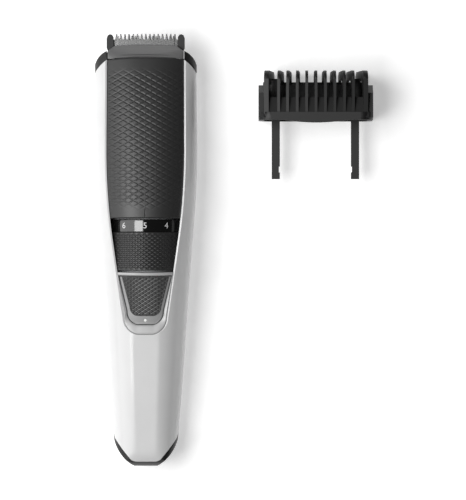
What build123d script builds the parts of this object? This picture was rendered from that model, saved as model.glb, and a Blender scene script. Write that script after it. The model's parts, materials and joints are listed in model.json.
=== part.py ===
from build123d import *
import math
import os

# Cordless beard trimmer lying on its back, with its clip-on comb beside it. Millimetres.
# X is across the trimmer and Z points out of its front. The model is drawn with Y as the
# distance from the base end towards the blades. write() then moves everything so that the
# origin is on the rear resting face, ORIGIN_FROM_BASE up from the base end.

# ---------------------------------------------------------------- driving dimensions
LENGTH = 175.0            # base end to blade tips
ORIGIN_FROM_BASE = 80.0
WALL = 1.6                # housing wall
SEAM = 0.15               # half of the visible gap between two housing parts
FREE = 0.3                # clearance between parts that move past each other
RUNNING = 0.05            # radial clearance of a shaft or pin in its bearing
PARTING_Z = 13.0          # plane between front and rear shell

# Housing stations: distance from base end, half width, rear z, front z.
STATIONS = [
    (-4.0, 12.2, 3.4, 21.4),
    (12.0, 13.05, 0.9, 24.4),
    (33.0, 14.8, -0.3, 27.6),
    (59.0, 16.6, -0.4, 31.0),
    (85.0, 18.5, -0.4, 34.3),
    (111.0, 20.4, 0.3, 35.3),
    (130.0, 20.85, 1.8, 34.2),
    (150.0, 20.6, 4.6, 31.2),
    (178.0, 20.3, 9.0, 25.4),
]
SQUARENESS = 2.35         # superellipse exponent of the housing section
SECTION_POINTS = 20

# Length setting: the wheel turns 32.6 degrees for each millimetre of comb height.
LEAD = 360.0 / 32.6
SETTING_REST = 5.0
SETTING_MIN = 0.5
SETTING_MAX = 10.0

# Wheel, number ring and the grooves in the wheel's bore
AXIS_Z = 18.5             # one axis for wheel, carrier and motor
WHEEL_R = 16.2
RING_R = 15.9
SLEEVE_R = 14.9
WHEEL_BORE_R = 13.8
WHEEL_LOW = 79.2
KNURL_TOP = 94.7
WHEEL_TOP = 99.8
GROOVE_R = 14.6
GROOVE_WIDTH = 2.5
LUG_R = 1.1
LUG_Y = 89.0

# Comb carrier, comb legs and their slots
CARRIER_R = 13.5
CARRIER_BORE_R = 12.5
CARRIER_LOW = 84.5
JOG_LOW = 105.4
JOG_TOP = 107.8
JOG_HALF = 17.0
ARM_WIDE = 125.0          # the arms widen to sockets above this
CARRIER_TOP = 141.6
SOCKET_FLOOR = 136.6
LEG_X = 16.1
LEG_W = 3.3
LEG_Z = 16.0
LEG_H = 3.4
SLOT_GAP = 0.2

# Front panel and button
OPENING_LOW = 53.4
PANEL_LOW = 100.2
PANEL_SINK = 0.2          # panel face below the shells
PANEL_T = 1.8
BAR_LOW = 77.2
BAR_TOP = 78.5
BEZEL_SINK = 0.9
BUTTON_LOW = 57.5
BUTTON_Y = 67.0
BUTTON_SINK = 1.0
BUTTON_T = 2.4
PAD_SINK = 0.7
PAD_SEAT = 1.6
BUTTON_TRAVEL = 0.5
PLUNGER_Z = 24.6
LIGHT_Y = 59.2
LIGHT_R = 0.55

# Head
DECK_LOW = 162.4
DECK_TOP = 164.8
HEAD_LOW = 165.1
HEAD_HALF = 15.35
HINGE_Y = 167.0
HINGE_Z = 10.0
HINGE_R = 1.0
BARREL_R = 1.9
BARREL_HALF = 9.6
LUG_OUT = 12.2
FIXED_Z = 18.4
FIXED_T = 0.8
MOVING_Z = 19.25
MOVING_TOP = 19.95
FIXED_PITCH = 1.685
FIXED_TEETH = 15
FIXED_HALF = 12.9
MOVING_PITCH = 1.4
MOVING_TEETH = 17
MOVING_HALF = 11.6
EAR_IN = 13.0
EAR_OUT = 15.8
HOOD_Z = 20.3             # lower edge of the cover
BLADE_SCREW_X = 9.5
BLADE_SCREW_R = 0.9

# Drive
MOTOR_R = 10.1
MOTOR_LOW = 103.0
MOTOR_TOP = 131.0
MOTOR_WALL = 0.5
MOTOR_SCREW_X = 6.5
BEARING_R = 3.0
SHAFT_R = 1.0
THROW = 0.65              # offset of the crank pin
CRANK_R = 0.8
DISC_R = 2.6
ROCKER_Y = 150.0
ROCKER_PIN_R = 1.5
FINGER_Y = 167.3
FINGER_R = 1.15
FINGER_LOW = 20.2
FINGER_TOP = 21.6
CORE_R = 12.1             # chassis tube that the carrier slides on
HEAD_PLATE_TOP = 133.2

# Power
CELL_R = 7.1
CELL_LOW = 21.0
CELL_LENGTH = 50.0
CELL_Z = 10.4
BOARD_Z = 19.4
BOARD_TOP = 20.6
SOCKET_Z = 12.5
SOCKET_DEPTH = 9.0
PIN_R = 0.65
PIN_TAIL_R = 0.3
PIN_X = 1.7
PIN_END = 4.6
PIN_BEND = 15.4
WIRE_R = 0.55

# Housing screws
SCREWS = [(x, y) for y in (17.5, 145.0) for x in (-8.6, 8.6)]
SCREW_HEAD_R = 2.1
SCREW_HEAD_T = 1.4
SCREW_SHANK_R = 1.2
SCREW_SEAT = 2.0          # head's lower face above the rear surface
GRIP_T = 0.8

# Comb beside the trimmer
COMB_X = 68.8             # distance between the two long axes
COMB_LOW = 140.0          # lower edge of the band
COMB_BAND = 143.2
COMB_TIP = 160.0
COMB_LEG_END = 116.3
COMB_HALF = 23.1
COMB_WALL = 2.1
COMB_DEPTH = 28.8
COMB_LEG_Z = 12.0
FIN_T = 1.1
FIN_OFFSETS = [3.8, 7.6, 11.5, 15.1]
END_FIN_X = 20.1
END_FIN_T = 1.9
FIN_SPLAY = 0.28          # lean of a fin to the middle, in degrees for each millimetre from it

PARTS = {}
FORMS = {}


# ---------------------------------------------------------------- helpers
def station(y):
    """Half width, rear z and front z of the housing at y, by straight lines between stations."""
    for low, high in zip(STATIONS, STATIONS[1:]):
        if y <= high[0]:
            t = (y - low[0]) / (high[0] - low[0])
            return [a + (b - a) * t for a, b in zip(low[1:], high[1:])]
    return list(STATIONS[-1][1:])


def section(y, half, rear, front, inset):
    """The housing's closed cross-section at y, moved inwards by inset."""
    mid = (front + rear) / 2
    rise = (front - rear) / 2 - inset
    side = half - inset
    points = []
    for k in range(SECTION_POINTS):
        angle = 2 * math.pi * k / SECTION_POINTS
        c = math.cos(angle)
        s = math.sin(angle)
        x = side * math.copysign(abs(c) ** (2 / SQUARENESS), c)
        z = mid + rise * math.copysign(abs(s) ** (2 / SQUARENESS), s)
        points.append(Vector(x, y, z))
    return Face(Wire([Edge.make_spline(points, periodic=True)]))


def form(inset=0.0):
    """The whole outer form, moved inwards by inset and cut flat where it rests on the table."""
    if inset not in FORMS:
        body = loft([section(y, w, r, f, inset) for y, w, r, f in STATIONS])
        FORMS[inset] = body & block(-40, 40, -10, 190, inset, 60) & side_profile(inset)
    return FORMS[inset]


def layer(zone, top, bottom):
    """The part of zone that lies between two depths below the outer form."""
    return (form(top) & zone) - form(bottom)


def side_profile(inset):
    """The outline seen from the side, which rounds the base end."""
    ends = Line((inset, 7.0), (inset, 16.0))
    nose = ThreePointArc((inset, 16.0), (2.3 + inset * 0.6, 20.9 - inset * 0.3), (9.0, 24.6))
    far = Polyline((9.0, 24.6), (20, 60), (190, 60), (190, -10), (20, -10), (9.0, 0.4))
    sole = ThreePointArc((9.0, 0.4), (2.3 + inset * 0.6, 2.6 + inset * 0.4), (inset, 7.0))
    face = make_face(Curve() + [ends, nose, far, sole])
    return extrude(Plane.YZ.offset(-40) * face, 80)


def block(x0, x1, y0, y1, z0, z1):
    """A box between two corners."""
    return Pos((x0 + x1) / 2, (y0 + y1) / 2, (z0 + z1) / 2) * Box(x1 - x0, y1 - y0, z1 - z0)


def rod_y(r, y0, y1, x=0.0, z=AXIS_Z):
    """A cylinder along Y."""
    return Pos(x, (y0 + y1) / 2, z) * Rot(90, 0, 0) * Cylinder(r, y1 - y0)


def rod_x(r, x0, x1, y, z):
    """A cylinder along X."""
    return Pos((x0 + x1) / 2, y, z) * Rot(0, 90, 0) * Cylinder(r, x1 - x0)


def rod_z(r, z0, z1, x, y):
    """A cylinder along Z."""
    return Pos(x, y, (z0 + z1) / 2) * Cylinder(r, z1 - z0)


def tube_y(outer, inner, y0, y1):
    """A tube along Y on the drive axis."""
    return rod_y(outer, y0, y1) - rod_y(inner, y0 - 1, y1 + 1)


def prism(face, z0=-5.0, z1=45.0):
    """An XY outline pulled up from z0 to z1."""
    return extrude(Pos(0, 0, z0) * face, z1 - z0)


def slab(points, x0, x1):
    """A YZ polygon pulled across from x0 to x1."""
    return extrude(Plane.YZ.offset(x0) * make_face(Polyline(*points, close=True)), x1 - x0)


def symmetric(*curves):
    """A face from the right half of an outline that starts and ends on X = 0."""
    half = Curve() + list(curves)
    return make_face(half + mirror(half, Plane.YZ))


def pair(shape):
    """The shape and its mirror image across X = 0."""
    return shape + mirror(shape, Plane.YZ)


def save(name, *shapes):
    """Keeps a named node as one compound of its separate solids."""
    PARTS[name] = Compound(children=[s for shape in shapes for s in shape.solids()])


# ---------------------------------------------------------------- outlines in XY
def body_outline(rise=0.0, drop=0.0):
    """The front silhouette at base corners and shoulders; rise and drop move the two ends in."""
    base = Line((0, rise), (4.7 + rise * 0.3, rise))
    corner = ThreePointArc(base @ 1, (9.5 - rise * 0.42, 4.1 + rise), (13.1 - rise * 0.32, 11.3))
    flare = Polyline(corner @ 1, (24, 45), (24, 150), (20.9, 158.6))
    shoulder = ThreePointArc(flare @ 1, (19.1 - drop * 0.28, 165.3 - drop * 0.85), (15.4, 168.0 - drop))
    top = Line(shoulder @ 1, (0, 168.0 - drop))
    return symmetric(base, corner, flare, shoulder, top)


def opening_outline(gap=0.0, top=176.0):
    """The tapering opening in the front shell, moved inwards by gap."""
    low = OPENING_LOW + gap
    foot = Line((0, low), (3.0, low))
    corner = ThreePointArc(foot @ 1, (6.95 - gap * 0.7, 55.6 + gap * 0.7), (8.55 - gap, 60.2))
    flank = Line(corner @ 1, (13.3 - gap, 93.0))
    swell = ThreePointArc(flank @ 1, (15.05 - gap, 110.0), (15.65 - gap, 130.0))
    return symmetric(foot, corner, flank, swell, Polyline(swell @ 1, (15.5 - gap, top), (0, top)))


def button_outline(gap=0.0):
    """The button: a tapering shield."""
    low = BUTTON_LOW + gap
    foot = Line((0, low), (3.2, low))
    corner = ThreePointArc(foot @ 1, (6.05 - gap * 0.7, 59.25 + gap * 0.7), (7.25 - gap, 63.0))
    return symmetric(foot, corner, Polyline(corner @ 1, (10.5 - gap, 76.9 - gap), (0, 76.9 - gap)))


def pad_outline():
    """The textured pad on the button."""
    foot = Line((0, 60.9), (3.1, 60.9))
    corner = ThreePointArc(foot @ 1, (5.35, 61.95), (6.35, 64.5))
    return symmetric(foot, corner, Polyline(corner @ 1, (9.4, 76.3), (0, 76.3)))


def grip_outline(gap=0.0):
    """The soft grip let into the rear shell."""
    low = 48 + gap
    high = 137 - gap
    foot = Line((0, low), (5.5, low))
    corner = ThreePointArc(foot @ 1, (8.7 - gap * 0.7, 50.4 + gap * 0.7), (10.0 - gap, 56.0))
    flank = ThreePointArc(corner @ 1, (11.4 - gap, 93.0), (10.4 - gap, 129.0))
    crown = ThreePointArc(flank @ 1, (8.8 - gap * 0.7, 134.6 - gap * 0.7), (5.5, high))
    return symmetric(foot, corner, flank, crown, Line(crown @ 1, (0, high)))


def hood_outline(gap=0.0, low=HEAD_LOW):
    """The cover over the blades, seen from the front."""
    half = HEAD_HALF - gap
    lower = ThreePointArc((0, low + 0.5), (half / 2, low + 0.37), (half, low))
    flank = Polyline(lower @ 1, (half, 167.8 - gap * 0.5), (12.5 - gap * 0.6, 170.1 - gap))
    upper = ThreePointArc(flank @ 1, (6.3, 170.4 - gap), (0, 170.5 - gap))
    return symmetric(lower, flank, upper)


# ---------------------------------------------------------------- housing
def screw_seat(y):
    """Height of the screw heads' lower faces."""
    return max(station(y)[1], 0) + SCREW_SEAT


def screw(x, y):
    """A housing screw with a cross recess."""
    seat = screw_seat(y)
    head_top = seat + SCREW_HEAD_T
    body = rod_z(SCREW_HEAD_R, seat, head_top, x, y) + rod_z(SCREW_SHANK_R, head_top, PARTING_Z + 2, x, y)
    cross = block(x - 1.2, x + 1.2, y - 0.3, y + 0.3, seat - 1, seat + 0.8)
    return body - (cross + block(x - 0.3, x + 0.3, y - 1.2, y + 1.2, seat - 1, seat + 0.8))


def shells():
    """Front shell, rear shell, rear grip and the housing screws."""
    zone = prism(body_outline(1.7 + SEAM, 3.6))
    hollow = form(WALL)
    for x, y in SCREWS[:2]:
        hollow -= rod_z(2.6, PARTING_Z + SEAM, 40, x, y)
    front = form() & zone & block(-30, 30, -10, 180, PARTING_Z + SEAM, 60)
    front = front - hollow - prism(opening_outline(), 16)
    for x, y in SCREWS[:2]:
        front -= rod_z(SCREW_SHANK_R, 10, PARTING_Z + 2.2, x, y)
    front -= rod_y(WHEEL_R + FREE, WHEEL_LOW - FREE, WHEEL_TOP + FREE)
    save("front_shell", front)

    hollow = form(WALL)
    for y in (30.0, 60.0):
        hollow -= block(-9, 9, y - 0.7, y + 0.7, -2, 7.5) - rod_y(CELL_R + 0.05, y - 2, y + 2, 0, CELL_Z)
    for x, y in SCREWS:
        hollow -= rod_z(2.9, -2, PARTING_Z - 0.6, x, y)
    rear = form() & zone & block(-30, 30, -10, 180, -10, PARTING_Z - SEAM)
    rear -= layer(prism(grip_outline(), -5, PARTING_Z), 0.0, GRIP_T)
    rear -= hollow
    for x, y in SCREWS:
        rear -= rod_z(SCREW_SHANK_R, 0, PARTING_Z, x, y)
        rear -= rod_z(SCREW_HEAD_R, -5, screw_seat(y) + SCREW_HEAD_T, x, y)
    save("rear_shell", rear)
    save("rear_grip", layer(prism(grip_outline(0.1), -5, PARTING_Z), 0.0, GRIP_T))
    save("housing_screws", *[screw(x, y) for x, y in SCREWS])


def base_cap():
    """The dark rim round the base end, with the charging recess behind it."""
    rim = form() & prism(body_outline()) & block(-30, 30, -10, 20, -5, 60)
    rim -= prism(body_outline(1.7))
    inner = form(WALL + 0.1) & prism(body_outline(0.5)) & block(-30, 30, -1, 4.0, -5, 60)
    spout = block(-6.4, 6.4, 2, SOCKET_DEPTH, SOCKET_Z - 4.4, SOCKET_Z + 4.4)
    mouth = Plane(origin=(0, -2, SOCKET_Z), x_dir=(1, 0, 0), z_dir=(0, 1, 0)) * SlotOverall(9.2, 5.4)
    save("base_cap", rim + inner + spout - extrude(mouth, SOCKET_DEPTH + 4))


def shoulder_cap():
    """The dark shoulders, the deck that closes the body below the cutter, and the hinge lugs."""
    reach = HEAD_HALF + FREE
    head = block(-30, 30, 150, 180, -5, 60)
    cap = form() & prism(body_outline()) & head
    cap -= form(WALL) & (block(-30, 30, 140, DECK_LOW, -5, 60) + block(-30, 30, DECK_TOP, 190, -5, 60))
    cap -= block(-reach, reach, DECK_TOP, 180, -5, 60)
    cap -= prism(body_outline(0, 3.45)) - form(WALL + 0.1)
    cap -= (prism(opening_outline(-0.1), 16) & head) - form(PANEL_SINK + PANEL_T + 0.1)
    lug = rod_x(1.7, BARREL_HALF + FREE, LUG_OUT, HINGE_Y, HINGE_Z)
    lug += block(BARREL_HALF + FREE, LUG_OUT, DECK_TOP - 0.2, HINGE_Y, HINGE_Z - 1.6, HINGE_Z + 1.6)
    cap += pair(lug)
    half_w = LEG_W / 2 + SLOT_GAP
    half_h = LEG_H / 2 + SLOT_GAP
    slot = block(LEG_X - half_w, LEG_X + half_w, 150, 180, LEG_Z - half_h, LEG_Z + half_h)
    cap -= pair(slot) + block(-4.2, 4.2, 150, 180, 19.3, 23.7)
    cap -= rod_x(HINGE_R, -30, 30, HINGE_Y, HINGE_Z)
    save("shoulder_cap", cap)
    save("cutter_hinge_pin", rod_x(HINGE_R, -LUG_OUT, LUG_OUT, HINGE_Y, HINGE_Z))
    seal = block(-6, 6, DECK_LOW - 0.9, DECK_LOW, 18.2, 24.8) - block(-3.1, 3.1, 150, 170, 19.6, 23.4)
    save("head_seal", seal)


def front_panel():
    """The textured panel between the number ring and the cutter, with its pointer groove."""
    lower = Line((0, PANEL_LOW), (20, PANEL_LOW))
    flank = Line(lower @ 1, (20, 163.9))
    upper = ThreePointArc(flank @ 1, (10, 164.95), (0, 165.3))
    zone = prism(opening_outline(0.22), 16) & prism(symmetric(lower, flank, upper))
    panel = layer(zone, PANEL_SINK, PANEL_SINK + PANEL_T)
    panel -= block(-0.2, 0.2, 101.4, 104.0, station(102.7)[2] - PANEL_SINK - 0.4, 60)
    save("front_panel", panel)


def button():
    """The bezel with its bar, the sliding button, its pad and the charge light."""
    length = block(-30, 30, 50, BAR_TOP, 16, 60)
    inside = prism(opening_outline(0.05), 16)
    bezel = form(BEZEL_SINK) & inside & length
    bezel += form(0.1) & inside & block(-30, 30, BAR_LOW, BAR_TOP, 16, 60)
    bezel += form(WALL + 0.05) & prism(opening_outline(-1.3), 16) & length
    save("button_bezel", bezel - form(2.7) - prism(button_outline(-0.2), 16))

    cap = layer(prism(button_outline(), 16), BUTTON_SINK, BUTTON_SINK + BUTTON_T)
    pad = layer(prism(pad_outline(), 16), PAD_SINK, PAD_SINK + PAD_SEAT)
    plunger = rod_z(1.6, PLUNGER_Z, station(BUTTON_Y)[2] - BUTTON_SINK - BUTTON_T + 0.3, 0, BUTTON_Y)
    light = rod_z(LIGHT_R, 25.5, 60, 0, LIGHT_Y)
    save("button_frame", cap + plunger - pad - light)
    save("button_pad", pad)
    save("light_pipe", light & form(BUTTON_SINK))


# ---------------------------------------------------------------- length wheel and comb carrier
def groove():
    """A helical groove in the wheel's bore, centred on the lug at the rest setting."""
    spare = 0.2
    low = SETTING_REST - SETTING_MIN + spare
    high = SETTING_MAX - SETTING_REST + spare
    path = Helix(pitch=LEAD, height=low + high, radius=(GROOVE_R + WHEEL_BORE_R) / 2, lefthand=True)
    deep = GROOVE_R - WHEEL_BORE_R + 1.2
    profile = Plane(origin=path @ 0, x_dir=(1, 0, 0), z_dir=path % 0) * Rectangle(deep, GROOVE_WIDTH)
    cut = sweep(profile, path=path, is_frenet=True)
    start = math.degrees(low / LEAD * 2 * math.pi)
    return Pos(0, LUG_Y - low, AXIS_Z) * Rot(0, start, 0) * Rot(-90, 0, 0) * cut


def wheel():
    """The knurled wheel, its number ring, and the carrier that the wheel drives up and down."""
    body = tube_y(WHEEL_R, WHEEL_BORE_R, WHEEL_LOW, KNURL_TOP)
    body += tube_y(SLEEVE_R, WHEEL_BORE_R, KNURL_TOP - 0.01, WHEEL_TOP)
    cut = groove()
    turned = Pos(0, 0, AXIS_Z) * Rot(0, 180, 0) * Pos(0, 0, -AXIS_Z) * cut
    save("length_wheel", body - cut - turned)
    save("number_ring", tube_y(RING_R, SLEEVE_R, KNURL_TOP, WHEEL_TOP))

    outer = LEG_X + LEG_W / 2 + 0.2
    carrier = tube_y(CARRIER_R, CARRIER_BORE_R, CARRIER_LOW, JOG_TOP)
    jog = block(CARRIER_BORE_R, JOG_HALF, JOG_LOW, JOG_TOP, LEG_Z - 2.6, LEG_Z + 3.0)
    arm = block(CARRIER_BORE_R + 0.7, JOG_HALF, JOG_LOW, CARRIER_TOP, LEG_Z - 2.5, LEG_Z + 2.5)
    arm += block(CARRIER_BORE_R + 0.9, outer, ARM_WIDE, CARRIER_TOP, LEG_Z - 2.7, LEG_Z + 2.7)
    half = LEG_W / 2 + 0.1
    arm -= block(LEG_X - half, outer + 1, SOCKET_FLOOR, 150, LEG_Z - half, LEG_Z + half)
    carrier += pair(jog + arm) - rod_y(CARRIER_BORE_R, 80, 150)
    lugs = pair(rod_x(LUG_R, CARRIER_BORE_R + 0.3, GROOVE_R - 0.15, LUG_Y, AXIS_Z))
    save("comb_carrier", carrier - lugs)
    save("carrier_lugs", lugs)


# ---------------------------------------------------------------- chassis and drive
def chassis():
    """The inner frame: a tube for carrier and motor, two bulkheads, board rails and rocker floor."""
    end = DECK_LOW - 1.2
    core = tube_y(CORE_R, MOTOR_R, 78.4, MOTOR_TOP)
    low_head = form(WALL + 0.05) & block(-30, 30, 76.6, 78.4, 0, 25.0)
    low_head -= rod_y(MOTOR_R, 70, 80)
    high_head = block(-12.6, 12.6, MOTOR_TOP, HEAD_PLATE_TOP, 8.6, 28.6) - rod_y(BEARING_R, 120, 140)
    for x in (-MOTOR_SCREW_X, MOTOR_SCREW_X):
        high_head -= rod_y(0.8, 120, 140, x)
    rails = pair(block(7.8, 11.1, 24, 76.8, 17.9, BOARD_Z))
    floor = block(-11, 11, 133, end, PARTING_Z - 0.4, PARTING_Z + 2.4)
    floor += pair(block(9.6, 11, 133, end, PARTING_Z, 21.0))
    post = rod_z(2.8, PARTING_Z + 2, 16.2, 0, ROCKER_Y)
    body = core + low_head + high_head + rails + floor + post
    body -= rod_z(ROCKER_PIN_R, 0, 30, 0, ROCKER_Y)
    for x, y in SCREWS[2:]:
        body -= rod_z(SCREW_SHANK_R, 0, PARTING_Z + 2, x, y)
    save("inner_chassis", body)
    save("rocker_pivot_pin", rod_z(ROCKER_PIN_R, PARTING_Z, 23.4, 0, ROCKER_Y)
         + rod_z(2.6, 23.4, 24.2, 0, ROCKER_Y))
    leaf = tube_y(14.2, CORE_R, 78.4, 78.75) & block(-20, 20, 70, 80, 0, AXIS_Z - 6)
    save("wheel_detent_spring", leaf)


def motor():
    """The motor's can, magnets, end cap, terminals, bearing and screws, and its turning rotor."""
    inner = MOTOR_R - MOTOR_WALL
    screw_xs = (-MOTOR_SCREW_X, MOTOR_SCREW_X)
    can = rod_y(MOTOR_R, MOTOR_LOW, MOTOR_TOP) - rod_y(inner, MOTOR_LOW - 1, MOTOR_TOP - 0.8)
    for x in screw_xs:
        can -= rod_y(0.8, MOTOR_TOP - 2, MOTOR_TOP + 1, x)
    save("motor_can", can - rod_y(BEARING_R, 120, 140))
    magnets = tube_y(inner, 7.6, 107, 127)
    magnets -= block(-20, 20, 100, 130, AXIS_Z - 1.2, AXIS_Z + 1.2)
    save("motor_magnets", magnets)
    slots = [block(x - 1.2, x + 1.2, 90, 120, AXIS_Z - 0.25, AXIS_Z + 0.25) for x in (-6.0, 6.0)]
    back = rod_y(inner, 101.6, 105.0) - rod_y(SHAFT_R + RUNNING, 90, 120)
    save("motor_end_cap", back - slots[0] - slots[1])
    save("motor_terminals", *[s & block(-20, 20, 98.6, 104.4, 0, 40) for s in slots])
    save("motor_bearing", tube_y(BEARING_R, SHAFT_R + RUNNING, MOTOR_TOP - 0.8, HEAD_PLATE_TOP))
    screws = []
    for x in screw_xs:
        head = rod_y(1.7, HEAD_PLATE_TOP, HEAD_PLATE_TOP + 1, x)
        screws.append(head + rod_y(0.8, MOTOR_TOP - 0.8, HEAD_PLATE_TOP, x))
    save("motor_screws", *screws)
    rotor = rod_y(7.0, 108, 126) - rod_y(SHAFT_R, 100, 130)
    for k in range(3):
        cut = block(-0.6, 0.6, 100, 130, 4.2, 9)
        rotor -= Pos(0, 0, AXIS_Z) * Rot(0, 120 * k + 60, 0) * cut
    save("motor_rotor", rotor)
    save("motor_shaft", rod_y(SHAFT_R, 101.0, 138.2))
    disc = rod_y(DISC_R, 134.8, 138.2) - rod_y(SHAFT_R, 100, 150)
    disc += rod_y(DISC_R, 138.2, 138.9)
    save("eccentric", disc + rod_y(CRANK_R, 138.9, 141.4, 0, AXIS_Z + THROW))


def rocker():
    """The forked lever that turns the crank's circle into the blade's side-to-side stroke."""
    fork_gap = 2.4
    prongs = pair(block(fork_gap, 3.9, 139.2, 145, 16.8, 20.8))
    bridge = block(-3.9, 3.9, 143.6, 147, 16.8, 22.0)
    hub = rod_z(3.2, 16.5, 23.1, 0, ROCKER_Y) + block(-2.2, 2.2, 146, ROCKER_Y, 16.8, 22.6)
    arm = block(-1.6, 1.6, ROCKER_Y, 164.2, FINGER_LOW, 22.6)
    finger = block(-0.75, 0.75, 163, FINGER_Y, FINGER_LOW, FINGER_TOP)
    finger += rod_z(FINGER_R, FINGER_LOW, FINGER_TOP, 0, FINGER_Y)
    body = prongs + bridge + hub + arm + finger
    save("drive_rocker", body - rod_z(ROCKER_PIN_R + RUNNING, 0, 40, 0, ROCKER_Y))


# ---------------------------------------------------------------- cutter
def blade_outline(half, low, root, tip, pitch, count, root_w, tip_w):
    """A toothed blade's outline: a plate with evenly spaced tapering teeth."""
    points = [(-half, root)]
    for k in range(count):
        x = (k - (count - 1) / 2) * pitch
        points += [(x - root_w / 2, root), (x - tip_w / 2, tip), (x + tip_w / 2, tip), (x + root_w / 2, root)]
    points += [(half, root), (half, low), (-half, low)]
    return make_face(Polyline(*points, close=True))


def cutter_frame():
    """The hinged frame with its two ears. Hair falls into the hollow behind the blades."""
    low = FIXED_Z - 0.2
    wedge = slab([(165.3, 12.6), (170.3, 12.6), (172.6, 17.4), (172.6, FIXED_Z), (165.3, FIXED_Z)], -13.8, 13.8)
    wedge -= slab([(160, 13.8), (169.0, 13.8), (170.4, 16.8), (170.4, 17.2), (160, 17.2)], -12.6, 12.6)
    web = slab([(166.2, 8.5), (168.7, 8.9), (170.3, 12.7), (165.9, 12.7)], -BARREL_HALF, BARREL_HALF)
    web += rod_x(BARREL_R, -BARREL_HALF, BARREL_HALF, HINGE_Y, HINGE_Z)
    cheek = block(EAR_IN + 0.1, HEAD_HALF, 165.4, 170.6, low, HOOD_Z)
    edge = [(EAR_IN, 169), (HEAD_HALF, 168.2), (EAR_OUT, 169.2), (EAR_OUT, 173.2), (15.3, 174.4),
            (14.5, 174.8), (13.6, 174.6), (EAR_IN, 173.6)]
    ear = prism(make_face(Polyline(*edge, close=True)), low, MOVING_TOP + 1.2)
    ear -= prism(hood_outline(-0.05), HOOD_Z, 40)
    body = wedge + web + pair(cheek + ear)
    body -= rod_x(HINGE_R + RUNNING, -20, 20, HINGE_Y, HINGE_Z)
    for x in (-BLADE_SCREW_X, BLADE_SCREW_X):
        body -= rod_z(BLADE_SCREW_R, 12.0, 20, x, 170.8)
    save("cutter_frame", body)


def blades():
    """The fixed blade and its screws, and the sliding blade with its carriage."""
    edge = blade_outline(FIXED_HALF, 165.6, 172.8, LENGTH, FIXED_PITCH, FIXED_TEETH, 1.2, 0.5)
    plate = prism(edge, FIXED_Z, FIXED_Z + FIXED_T)
    screws = [rod_z(BLADE_SCREW_R, 12.8, FIXED_Z + FIXED_T, x, 170.8) for x in (-BLADE_SCREW_X, BLADE_SCREW_X)]
    save("fixed_blade", plate - screws[0] - screws[1])
    save("blade_screws", *screws)
    edge = blade_outline(MOVING_HALF, 166.9, 172.5, 174.2, MOVING_PITCH, MOVING_TEETH, 0.95, 0.4)
    save("moving_blade", prism(edge, MOVING_Z, MOVING_TOP))
    carriage = block(-8, 8, 166.2, 168.9, MOVING_TOP, FINGER_TOP)
    slot = FINGER_R + 0.25
    save("blade_carriage", carriage - block(-slot, slot, 160, 168.6, MOVING_TOP + 0.05, 30))


def cover():
    """The sloping cover over the blades, and the spring that presses the carriage down."""
    slope = [(160, HOOD_Z), (160, 33), (165.1, 27.5), (167.8, 24.9), (170.6, 21.4), (170.6, HOOD_Z)]
    below = [(160, 15), (160, 32), (165.1, 26.1), (167.6, 23.7), (170.0, 20.7), (170.0, 15)]
    hood = form(0.15) & prism(hood_outline()) & slab(slope, -20, 20)
    hollow = form(1.45) & prism(hood_outline(1.3, 160.0)) & slab(below, -20, 20)
    save("cutter_cover", hood - hollow)
    save("blade_spring", block(-14.05, 14.05, 165.8, 167.2, 21.9, 22.15))


# ---------------------------------------------------------------- power
def power():
    """Cell, tabs, circuit board with its parts, and the charging socket."""
    end = CELL_LOW + CELL_LENGTH
    save("battery_cell", rod_y(CELL_R, CELL_LOW, end, 0, CELL_Z) + rod_y(2.6, end, end + 1, 0, CELL_Z))
    tabs = [block(-2.5, 2.5, y, y + 0.3, CELL_Z - 3, BOARD_Z) for y in (CELL_LOW - 0.3, end + 1)]
    save("battery_tabs", *tabs)
    board = block(-8.6, 8.6, 21.6, 73.5, BOARD_Z, BOARD_TOP)
    save("circuit_board", board + block(-5.4, 5.4, 14.4, 21.7, BOARD_Z, BOARD_TOP))
    chips = [(0, 34, 7, 7, 1.1), (-5, 44, 3, 5, 1.6), (5, 44, 4, 4, 2.2), (5.5, 28, 2, 3.4, 1.2),
             (-5.5, 27, 3, 2, 1.2), (-6, 52, 2, 2, 0.9), (6, 53, 2, 3, 0.9), (0, 24, 6, 2.4, 1.8)]
    bodies = []
    for x, y, w, d, h in chips:
        bodies.append(block(x - w / 2, x + w / 2, y - d / 2, y + d / 2, BOARD_TOP, BOARD_TOP + h))
    save("board_components", *bodies)
    switch = block(-3, 3, BUTTON_Y - 3, BUTTON_Y + 3, BOARD_TOP, BOARD_TOP + 2.6)
    switch += rod_z(1.7, BOARD_TOP + 2.5, PLUNGER_Z - BUTTON_TRAVEL - 0.05, 0, BUTTON_Y)
    save("tact_switch", switch)
    save("charge_led", block(-0.9, 0.9, LIGHT_Y - 0.9, LIGHT_Y + 0.9, BOARD_TOP, BOARD_TOP + 0.9))
    holder = block(-6.0, 6.0, SOCKET_DEPTH, 13.6, SOCKET_Z - 4.2, SOCKET_Z + 4.2)
    pins = []
    for x in (-PIN_X, PIN_X):
        tail = rod_y(PIN_TAIL_R, SOCKET_DEPTH, PIN_BEND, x, SOCKET_Z)
        tail += rod_z(PIN_TAIL_R, SOCKET_Z - PIN_TAIL_R, BOARD_Z, x, PIN_BEND)
        pins.append(rod_y(PIN_R, PIN_END, SOCKET_DEPTH, x, SOCKET_Z) + tail)
        holder -= tail
    save("socket_housing", holder)
    save("socket_pins", *pins)
    save("wire_red", wire(1, 0.0))
    save("wire_black", wire(-1, 0.6))


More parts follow.
